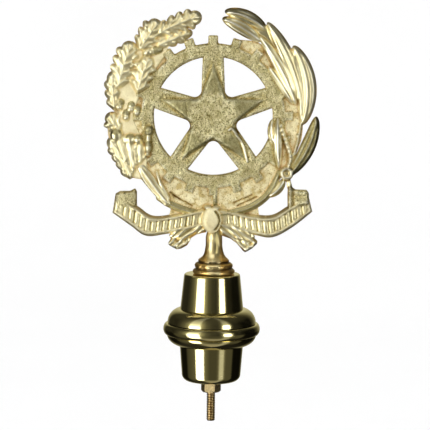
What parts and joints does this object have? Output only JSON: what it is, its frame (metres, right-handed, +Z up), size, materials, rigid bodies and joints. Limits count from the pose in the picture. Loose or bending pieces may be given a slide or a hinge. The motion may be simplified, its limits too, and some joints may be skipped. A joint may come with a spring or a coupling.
{
  "type": "flagpole finial",
  "caption": "Cast brass finial for an indoor flagpole: openwork star in a toothed ring with oak and olive sprays and a ribbon, on a turned two-part base with threaded rod.",
  "frame": {"origin": "on the rod's axis, in the plane where the lower drum's foot sits on the pole's end", "axes": "+Z up along the rod, through the emblem's star; the emblem's face looks along -Y; +X is to the right as the face is seen"},
  "size_m": [0.1239, 0.0558, 0.239],
  "materials": {
    "cast_brass": "cast, pitted and hand polished",
    "polished_brass": "mirror polished",
    "nut_brass": "satin",
    "rod_brass": "dull, threaded"
  },
  "bodies": {
    "root": {"emblem_casting": "cast_brass", "upper_base_bell": "polished_brass", "lower_base_cup": "polished_brass", "hex_nut": "nut_brass", "threaded_rod": "rod_brass"}
  },
  "joints": []
}
